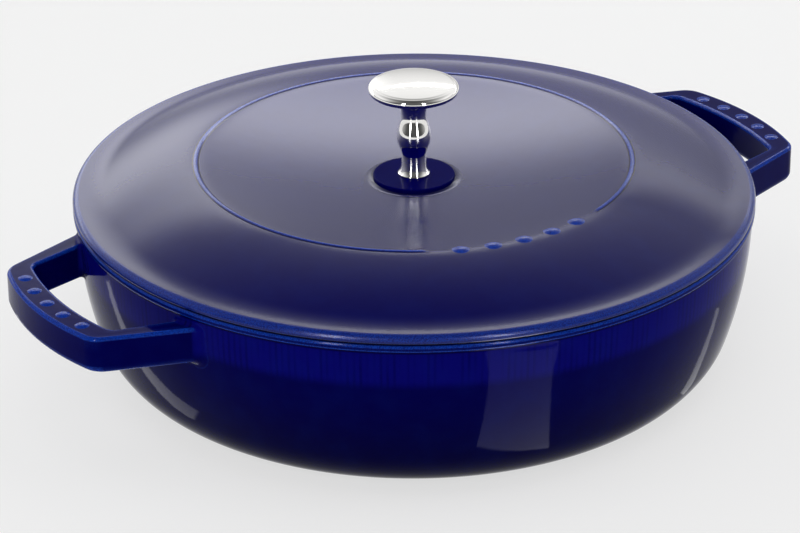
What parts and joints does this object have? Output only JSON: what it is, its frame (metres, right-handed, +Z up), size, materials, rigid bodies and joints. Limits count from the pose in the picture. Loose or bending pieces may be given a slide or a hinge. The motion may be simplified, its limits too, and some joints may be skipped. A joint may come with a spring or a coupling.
{
  "type": "braiser",
  "caption": "Low round enamelled cast-iron braiser with loop handles cast in one, a loose domed lid with a raised ring, and a turned metal knob.",
  "frame": {"origin": "middle of the base, on the surface that the pan stands on", "axes": "+Z up, +X along the line through both handles, -Y towards the gap in the lid's raised ring"},
  "size_m": [0.3544, 0.284, 0.123],
  "materials": {
    "enamelled_iron": "glossy translucent blue enamel over black, matte black enamel inside",
    "polished_nickel": "polished",
    "stainless_steel": "turned, satin"
  },
  "bodies": {
    "pan": {"pan": "enamelled_iron"},
    "lid": {"lid": "enamelled_iron", "knob": "polished_nickel", "knob_screw": "stainless_steel", "lock_washer": "stainless_steel", "flat_washer": "stainless_steel"}
  },
  "joints": [
    {"name": "lid_lift", "type": "slide", "parent": "pan", "child": "lid", "axis": [0, 0, 1], "range_m": [0, 0.15]}
  ]
}
